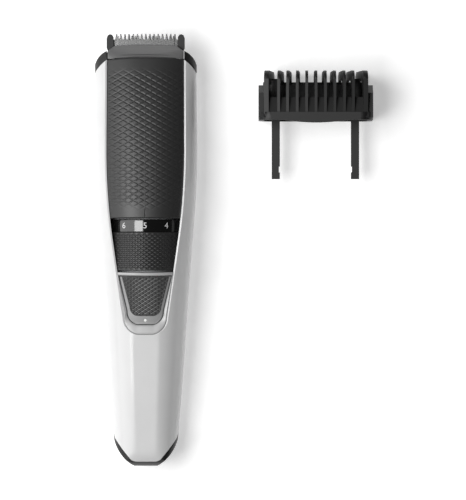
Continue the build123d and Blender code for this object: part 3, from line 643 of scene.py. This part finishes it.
class TRIMMER_OT_front_shell(bpy.types.Operator):
    """Makes the pearl front shell with its chamfered opening and soft front facet."""
    bl_idname = "trimmer.front_shell"
    bl_label = "Front shell"

    foot_steps = 8
    corner_steps = 26
    flank_steps = 150
    across = 34
    top_inner = (15.5, 164.4)
    top_middle = (18.09, 162.24)
    top_outer = (20.9, 158.6)
    top_arc_steps = 24
    # The top edge's bend reaches down the shell with this power of the distance from the opening's foot.
    top_bend = 6
    top_margin = 1.2
    foot_chamfer = 0.25
    wall = 1.3
    edge_rounding = 0.12
    # Where the base end's outline meets the parting plane, and the rows that lead there.
    join_s = 14.2
    join_steps = 4
    # The outline at the base end: the end of its foot, an arc round the corner and one up the side.
    base_corner = ((3.8, 1.85), ((5.45, 2.32), (6.75, 3.62)), ((8.92, 6.25), (12.51, 11.3)))

    def inner_run(self):
        """Opening edge from its foot to the top, in foot, corner and flank steps."""
        edge = opening_edge()
        foot = resampled(edge[:2], self.foot_steps)
        corner = resampled(edge[1:10], self.corner_steps)
        flank = edge[9:-1] + [self.top_inner]
        return foot[:-1] + corner[:-1] + resampled(flank, self.flank_steps)

    def outer_run(self):
        """Outer border as (phi, s), from the middle of the base end to the top."""
        start, bend, rim = self.base_corner
        foot = resampled([(0.0, start[1]), start], self.foot_steps)
        corner = [start] + arc(start, *bend) + arc(bend[1], *rim)
        corner = resampled(corner, self.corner_steps - self.join_steps)
        run = [(angle_of(x, s), s) for x, s in foot[:-1] + corner]
        last = run[-1]
        join = (angle_of_parting(self.join_s), self.join_s)
        run += [tuple(p + (q - p) * k / self.join_steps for p, q in zip(last, join))
                for k in range(1, self.join_steps)]
        rise = self.top_outer[1] + self.top_margin - self.join_s
        side = [self.join_s + rise * k / self.flank_steps for k in range(self.flank_steps + 1)]
        return run + [(angle_of_parting(s), s) for s in side]

    def execute(self, context):
        chamfer = context.scene.trimmer_sizes.chamfer
        inner = self.inner_run()
        outer = self.outer_run()
        count = min(len(inner), len(outer))
        start = self.foot_steps + self.corner_steps
        top_arc = [self.top_inner]
        top_arc += arc(self.top_inner, self.top_middle, self.top_outer, self.top_arc_steps)
        columns = []
        for k in range(count):
            x, s = inner[k]
            ahead = inner[min(k + 1, count - 1)]
            behind = inner[max(k - 1, 0)]
            along = Vector((ahead[0] - behind[0], ahead[1] - behind[1])).normalized()
            out = Vector((along.y, -along.x)) if k else Vector((0, -1))
            share = max(k - start, 0) / (count - 1 - start)
            full = ease((k - self.foot_steps) / start)
            wide = chamfer * (self.foot_chamfer + (1 - self.foot_chamfer) * full)
            rim = (x, s, skin(x, s) - wide)
            cx, cs = x + out.x * wide, s + out.y * wide * (1 - share)
            row = [rim]
            first = (angle_of(cx, cs), cs)
            for j in range(self.across + 1):
                u = j / self.across
                phi = first[0] + (outer[k][0] - first[0]) * u
                level = first[1] + (outer[k][1] - first[1]) * u
                if k > start:
                    column_x = around(phi, level)[0]
                    lift = self.top_at(top_arc, column_x) - self.straight_top(outer[count - 1], u)
                    level += lift * share ** self.top_bend
                row.append(around(phi, level))
            columns.append(row)
        columns = [[columns[k][j] for k in range(count)] for j in range(self.across + 2)]
        mirrored = [[(-x, s, z) for x, s, z in reversed(row)][:-1] + row for row in columns]
        piece = grid_piece("front_shell_skin", list(reversed(mirrored)))
        thicken(piece, self.wall, self.edge_rounding)
        settle(piece, "housing", "pearl_shell", "front_shell")
        return {"FINISHED"}

    def straight_top(self, end, u):
        """Where the last row would end at share u if the top edge were straight."""
        return self.top_inner[1] + (end[1] - self.top_inner[1]) * u

    def top_at(self, top_arc, x):
        """Top edge's s at x."""
        for (x0, s0), (x1, s1) in zip(top_arc, top_arc[1:]):
            if x <= x1:
                return s0 + (s1 - s0) * max(x - x0, 0.0) / (x1 - x0)
        return top_arc[-1][1]


class TRIMMER_OT_front_panel(bpy.types.Operator):
    """Makes the panel with its field of diamonds and the pointer groove."""
    bl_idname = "trimmer.front_panel"
    bl_label = "Front panel"

    # The diamonds fade in over field_low and out over field_top.
    field_low = (102.5, 108.5)
    field_top = (156.0, 161.5)
    diamond_groove = 0.36
    pointer_low = 101.3
    pointer_top = 104.0
    pointer_half = 0.19
    pointer_depth = 0.4
    # Extra mesh shares on both sides of the middle, which the pointer's walls need.
    pointer_shares = (0.003, 0.0058, 0.0075, 0.011)
    gap = 0.22
    inset = 0.2
    wall = 1.5
    edge_radius = 0.35
    columns = 150
    rows = 400
    crown_s = 165.3

    def execute(self, context):
        sizes = context.scene.trimmer_sizes

        def relief(x, s):
            shown = ease((s - self.field_low[0]) / (self.field_low[1] - self.field_low[0]))
            shown *= 1 - ease((s - self.field_top[0]) / (self.field_top[1] - self.field_top[0]))
            height = diamonds(x, s, sizes.panel_wide, sizes.panel_tall, self.diamond_groove) - 1
            pointer = abs(x) < self.pointer_half and self.pointer_low < s < self.pointer_top
            return height * shown * sizes.panel_relief - (self.pointer_depth if pointer else 0.0)

        extra = [0.5 + side * w for side in (-1, 1) for w in self.pointer_shares]
        piece = pad_piece("front_panel_skin", opening_edge(self.gap), PANEL_BOX[0][1],
                          lambda x: self.crown_s - parting_bow(x), self.inset, relief,
                          self.columns, self.rows, self.edge_radius, extra=extra)
        thicken(piece, self.wall)
        settle(piece, "housing", "black_panel", "front_panel")
        return {"FINISHED"}


class TRIMMER_OT_length_wheel(bpy.types.Operator):
    """Makes the knurled wheel, the glossy ring and its numbers."""
    bl_idname = "trimmer.length_wheel"
    bl_label = "Length wheel"

    cells_around = 44
    cell_steps = 14
    groove = 0.6
    # The knurl stays clear of both ends of the wheel's face and fades in over a short way.
    margin = 0.3
    fade = 0.8
    row_step = 0.135
    ring_steps = 180
    ring_rim = 0.25
    ring_bevel = 0.07
    ring_stand = 0.02
    # Height of a digit as a share of the font's size, and the thickness of the print.
    digit_share = 0.72
    print_thickness = 0.03

    def execute(self, context):
        sizes = context.scene.trimmer_sizes
        low, top = WHEEL_BOX[0][1], WHEEL_BOX[1][1]
        knurl_top = RING_BOX[0][1]

        def knurled(r, s, angle):
            if r < WHEEL_R - 0.001:
                return r
            around_wheel = angle / (2 * math.pi) * self.cells_around
            height = diamonds(around_wheel, s - low, 1.0, FINE_TALL, self.groove)
            shown = ease((s - low - self.margin) / self.fade)
            shown *= ease((knurl_top - self.margin - s) / self.fade)
            return r - sizes.knurl_depth * (1 - height) * shown

        tall = knurl_top - low - 2 * self.margin
        steps = int(tall / self.row_step)
        face = [(WHEEL_R, low + self.margin + tall * k / steps) for k in range(steps + 1)]
        # The wheel's section: a chamfered lower end, the knurled face, then the sleeve under the ring.
        profile = [(BORE_R, low + 0.4), (BORE_R + 0.2, low), (WHEEL_R - 0.6, low)]
        profile.append((WHEEL_R - 0.15, low + 0.1))
        profile += face + [(WHEEL_R - 0.12, knurl_top - 0.08), (WHEEL_R - 0.4, knurl_top)]
        profile += [(SLEEVE_R, knurl_top), (SLEEVE_R, top), (BORE_R, top)]
        steps_around = self.cells_around * self.cell_steps
        wheel = turned("length_wheel_knurl", profile, steps_around, knurled)
        settle(wheel, "wheel", "black_panel", "length_wheel")

        low, top = RING_BOX[0][1], RING_BOX[1][1]
        rim, bevel = self.ring_rim, self.ring_bevel
        lower = [(SLEEVE_R, low), (RING_R - rim, low), (RING_R - bevel, low + bevel), (RING_R, low + rim)]
        upper = [(r, low + top - s) for r, s in reversed(lower)]
        profile = lower + [(RING_R, (low + top) / 2)] + upper
        ring = turned("number_ring_gloss", profile, self.ring_steps)
        settle(ring, "wheel", "gloss_black", "number_ring")
        self.numbers(sizes.digit_height, (low + top) / 2)
        return {"FINISHED"}

    def numbers(self, height, middle):
        """The printed numbers of the settings, in one thin mesh on the ring."""
        points = []
        faces = []
        for setting in SETTINGS:
            curve = bpy.data.curves.new("number", "FONT")
            curve.body = f"{setting:g}"
            curve.size = height / self.digit_share * MM
            curve.align_x = "CENTER"
            curve.align_y = "CENTER"
            curve.extrude = self.print_thickness * MM
            text = bpy.data.objects.new("number", curve)
            mesh = bpy.data.meshes.new_from_object(text)
            degrees = (SETTING_AT_REST - setting) * DEGREES_PER_SETTING
            turn = Matrix.Rotation(math.radians(degrees), 4, "Y")
            centre = at(0, middle, AXIS_Z)
            stand = Vector((0, 0, (RING_R + self.ring_stand) * MM))
            first = len(points)
            points += [centre + turn @ (v.co + stand) for v in mesh.vertices]
            faces += [[first + i for i in p.vertices] for p in mesh.polygons]
            bpy.data.objects.remove(text)
            bpy.data.curves.remove(curve)
            bpy.data.meshes.remove(mesh)
        mesh = bpy.data.meshes.new("ring_numbers")
        mesh.from_pydata(points, [], faces)
        piece = bpy.data.objects.new("ring_numbers", mesh)
        bpy.context.scene.collection.objects.link(piece)
        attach(piece, "wheel")
        mesh.materials.append(material("number_print"))


class TRIMMER_OT_button(bpy.types.Operator):
    """Makes the silver bezel with its bar, and the button with its lip, the lip's dish for the light, and
    its pad.
    """
    bl_idname = "trimmer.button"
    bl_label = "Button and bezel"

    run_steps = 70
    # Sections of the bezel, from its outer to its inner edge, and of the bar, along s.
    # Each point is a share of the width and a depth below the housing's surface.
    bezel_profile = [(0.0, 0.75), (0.0, 0.30), (0.10, 0.22), (0.25, 0.30), (0.75, 0.80), (0.93, 1.02),
                     (1.0, 1.25), (1.0, 2.4)]
    bar_profile = [(0.0, 2.2), (0.0, 0.35), (0.12, 0.12), (0.3, 0.0), (0.5, -0.03), (0.7, 0.0),
                   (0.88, 0.12), (1.0, 0.35), (1.0, 2.2)]
    bezel_gap = 0.06
    bezel_overlap = 0.2
    bar_steps = 20
    bar_bow = 0.25
    bar_shift = 0.12
    bar_sink = 0.1
    cell_wide = 2.5
    cell_groove = 0.7
    lip_inset = 1.0
    lip_columns = 70
    lip_rows = 110
    lip_radius = 0.45
    lip_wall = 1.4
    pad_inset = 0.62
    pad_columns = 130
    pad_rows = 150
    pad_radius = 0.3
    pad_wall = 0.9
    # The dish round the charge light, and the lip's slope down towards its foot.
    light_s = 59.2
    dish_r = 1.1
    dish_depth = 0.18
    slope_top = 61.5
    slope_length = 4.0
    slope_depth = 0.25

    def execute(self, context):
        sizes = context.scene.trimmer_sizes
        self.bezel()
        self.bar()
        outline = button_edge()
        lip = pad_piece("button_lip", outline, outline[0][1], lambda x: outline[-1][1], self.lip_inset,
                        self.lip_relief, self.lip_columns, self.lip_rows, self.lip_radius)
        thicken(lip, self.lip_wall)
        settle(lip, "button", "grey_lip", "button_frame")

        def relief(x, s):
            return (diamonds(x, s, self.cell_wide, FINE_TALL, self.cell_groove) - 1) * sizes.pad_relief

        edge = pad_edge()
        pad = pad_piece("button_pad_skin", edge, edge[0][1], lambda x: edge[-1][1], self.pad_inset,
                        relief, self.pad_columns, self.pad_rows, self.pad_radius)
        thicken(pad, self.pad_wall)
        settle(pad, "button", "black_rubber", "button_pad")
        return {"FINISHED"}

    def lip_relief(self, x, s):
        """The lip dips towards its foot and holds the light in a small dish."""
        dish = ease(1 - math.hypot(x, s - self.light_s) / self.dish_r) * self.dish_depth
        return -dish - self.slope_depth * ease((self.slope_top - s) / self.slope_length)

    def bezel(self):
        """The sloping silver rim between the opening's edge and the button."""
        top = BAR_LOW + self.bezel_overlap
        outer = resampled(self.cut(opening_edge(self.bezel_gap), top), self.run_steps)
        inner = resampled(self.cut(button_edge(-self.bezel_overlap), top), self.run_steps)
        rows = []
        for share, depth in self.bezel_profile:
            row = []
            for (x0, s0), (x1, s1) in zip(outer, inner):
                x = x0 + (x1 - x0) * share
                s = s0 + (s1 - s0) * share
                row.append((x, s, skin(x, s) - depth))
            rows.append([(-x, s, z) for x, s, z in reversed(row)][:-1] + row)
        piece = grid_piece("button_bezel_rim", rows)
        settle(piece, "housing", "silver_trim", "button_bezel")

    def cut(self, edge, top):
        """An outline up to a given s."""
        kept = [p for p in edge if p[1] < top]
        return kept + [(half_at(edge, top), top)]

    def bar(self):
        """The bright bar between the button and the wheel."""
        rows = []
        for share, depth in self.bar_profile:
            s = BAR_LOW + (BAR_TOP - BAR_LOW) * share
            half = half_at(opening_edge(self.bezel_gap), s)
            row = []
            for k in range(2 * self.bar_steps + 1):
                x = half * (k / self.bar_steps - 1)
                bow = self.bar_bow * (x / half) ** 2
                row.append((x, s + bow - self.bar_shift, skin(x, s, self.bar_sink) - depth))
            rows.append(row)
        piece = grid_piece("bezel_bar", rows)
        settle(piece, "housing", "silver_trim")


class TRIMMER_OT_cutter_cover(bpy.types.Operator):
    """Makes the smooth sloping cover over the blades."""
    bl_idname = "trimmer.cutter_cover"
    bl_label = "Cutter cover"

    # The cover's outline as (x, s), and its sloping face as (s, z).
    half_width = 15.35
    edge = [(0.0, 164.4), (half_width, 164.4), (half_width, 167.8), (12.5, 170.1), (12.2, 170.6)]
    slope = [(164.4, 28.0), (167.8, 24.9), (170.6, 21.5)]
    slope_blend = 0.6
    shoulder_blend = 2.0
    parting = 0.2
    top_s = 170.5
    top_bow = 0.4
    sink = 0.15
    edge_radius = 0.35
    # How much tighter the lower and upper edges are rounded than the sides.
    low_sharpness = 3
    top_sharpness = 2
    rows = 24
    columns = 60
    end_shares = [0.01, 0.03]
    side_shares = [0.004, 0.012]
    wall = 1.0

    def slope_at(self, s):
        """Height of the sloping face at s."""
        (s0, z0), (s1, z1), (s2, z2) = self.slope
        first = z0 + (z1 - z0) * (s - s0) / (s1 - s0)
        second = z1 + (z2 - z1) * (s - s1) / (s2 - s1)
        return soft_min(first, second, self.slope_blend)

    def execute(self, context):
        rows = []
        for tau in spread(self.rows, self.end_shares):
            row = []
            for share in spread(self.columns, self.side_shares):
                f = 2 * share - 1
                low = PANEL_BOX[1][1] + self.parting - parting_bow(f * self.half_width)
                top = self.top_s - self.top_bow * f * f
                s = low + (top - low) * tau
                half = half_at(self.edge, s)
                x = f * half
                border = min(half - abs(x), (s - low) * self.low_sharpness, (top - s) * self.top_sharpness)
                z = soft_min(skin(x, s, self.sink), self.slope_at(s), self.shoulder_blend)
                row.append((x, s, z - rolled(border, self.edge_radius)))
            rows.append(row)
        piece = grid_piece("cutter_cover_skin", rows)
        thicken(piece, self.wall)
        settle(piece, "cutter", "dark_grey", "cutter_cover")
        return {"FINISHED"}


class TRIMMER_OT_rear_grip(bpy.types.Operator):
    """Makes the soft grip on the back with its shallow diamonds."""
    bl_idname = "trimmer.rear_grip"
    bl_label = "Rear grip"

    diamond_wide = 4.45
    diamond_tall = 2.5
    columns = 110
    rows = 300
    edge_radius = 0.3
    wall = 0.7

    def execute(self, context):
        depth = context.scene.trimmer_sizes.grip_relief

        def relief(x, s):
            return (diamonds(x, s, self.diamond_wide, self.diamond_tall) - 1) * depth

        piece = pad_piece("rear_grip_skin", grip_edge(), GRIP_BOX[0][1], lambda x: GRIP_BOX[1][1], 0.0,
                          relief, self.columns, self.rows, self.edge_radius, rear=True)
        thicken(piece, self.wall)
        settle(piece, "housing", "black_rubber", "rear_grip")
        return {"FINISHED"}


class TRIMMER_OT_stage(bpy.types.Operator):
    """Makes the floor, the lights and the camera."""
    bl_idname = "trimmer.stage"
    bl_label = "Studio"

    sensor = 36.0
    front_z = 0.018
    aim_shift = 0.0002
    far_clip = 20.0
    floor_half = 3.0
    floor_z = -0.0002
    light_distance = 1.1

    def execute(self, context):
        studio = context.scene.trimmer_studio
        low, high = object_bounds()
        centre_x = (WHEEL_BOX[0][0] + WHEEL_BOX[1][0]) / 2 * MM
        aim = Vector(((low.x + high.x) / 2 - self.aim_shift, (low.y + high.y) / 2, self.front_z))
        self.floor()
        self.lights(studio, Vector((centre_x, aim.y, self.front_z)))
        camera = bpy.data.cameras.new("camera")
        camera.sensor_fit = "HORIZONTAL"
        camera.sensor_width = self.sensor
        camera.lens = self.sensor * (studio.camera_height - self.front_z) / studio.picture_width
        camera.clip_end = self.far_clip
        holder = bpy.data.objects.new("camera", camera)
        holder.location = (aim.x, aim.y, studio.camera_height)
        context.scene.collection.objects.link(holder)
        context.scene.camera = holder
        return {"FINISHED"}

    def floor(self):
        """A large pale floor just below the object."""
        mesh = bpy.data.meshes.new("studio_floor")
        corners = ((-1, -1), (1, -1), (1, 1), (-1, 1))
        points = [(x * self.floor_half, y * self.floor_half, self.floor_z) for x, y in corners]
        mesh.from_pydata(points, [], [(0, 1, 2, 3)])
        floor = bpy.data.objects.new("studio_floor", mesh)
        mesh.materials.append(material("studio_floor"))
        bpy.context.scene.collection.objects.link(floor)
        floor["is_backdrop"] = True

    def lights(self, studio, target):
        """Soft boxes to the left of the camera, and an even sky."""
        # Name, lean from the vertical in degrees, width and height in metres, power.
        boxes = (("key_light", -20.0, 0.48, 0.8, studio.key_power),
                 ("side_light", -57.0, 0.96, 1.3, studio.side_power))
        for name, lean, wide, tall, power in boxes:
            lamp = bpy.data.lights.new(name, "AREA")
            lamp.shape = "RECTANGLE"
            lamp.size = wide
            lamp.size_y = tall
            lamp.energy = power
            holder = bpy.data.objects.new(name, lamp)
            turn = math.radians(lean)
            holder.location = target + Vector((math.sin(turn), 0.0, math.cos(turn))) * self.light_distance
            holder.rotation_euler = (0.0, turn, 0.0)
            bpy.context.scene.collection.objects.link(holder)
        world = bpy.data.worlds.new("studio_sky")
        world.use_nodes = True
        background = world.node_tree.nodes["Background"]
        background.inputs["Color"].default_value = (1, 1, 1, 1)
        background.inputs["Strength"].default_value = studio.sky
        bpy.context.scene.world = world
        bpy.context.scene.view_settings.view_transform = "Standard"


OPERATORS = (TRIMMER_OT_finishes, TRIMMER_OT_front_shell, TRIMMER_OT_front_panel, TRIMMER_OT_length_wheel,
             TRIMMER_OT_button, TRIMMER_OT_cutter_cover, TRIMMER_OT_rear_grip, TRIMMER_OT_stage)


class TRIMMER_PT_panel(bpy.types.Panel):
    """Lists the steps that build the trimmer."""
    bl_idname = "TRIMMER_PT_panel"
    bl_label = "Beard trimmer"
    bl_space_type = "VIEW_3D"
    bl_region_type = "UI"
    bl_category = "Trimmer"

    def draw(self, context):
        for group in ("trimmer_sizes", "trimmer_colours", "trimmer_studio"):
            settings = getattr(context.scene, group)
            for name in settings.__annotations__:
                self.layout.prop(settings, name)
        for step in OPERATORS:
            self.layout.operator(step.bl_idname)


SETTINGS_GROUPS = {"trimmer_sizes": TrimmerSizes, "trimmer_colours": TrimmerColours,
                   "trimmer_studio": TrimmerStudio}


def register():
    for name, group in SETTINGS_GROUPS.items():
        bpy.utils.register_class(group)
        setattr(bpy.types.Scene, name, bpy.props.PointerProperty(type=group))
    for step in OPERATORS + (TRIMMER_PT_panel,):
        bpy.utils.register_class(step)


def unregister():
    for step in (TRIMMER_PT_panel,) + OPERATORS[::-1]:
        bpy.utils.unregister_class(step)
    for name, group in SETTINGS_GROUPS.items():
        delattr(bpy.types.Scene, name)
        bpy.utils.unregister_class(group)


def main():
    register()
    for step in OPERATORS:
        area, name = step.bl_idname.split(".")
        getattr(getattr(bpy.ops, area), name)()


if __name__ == "__main__":
    main()
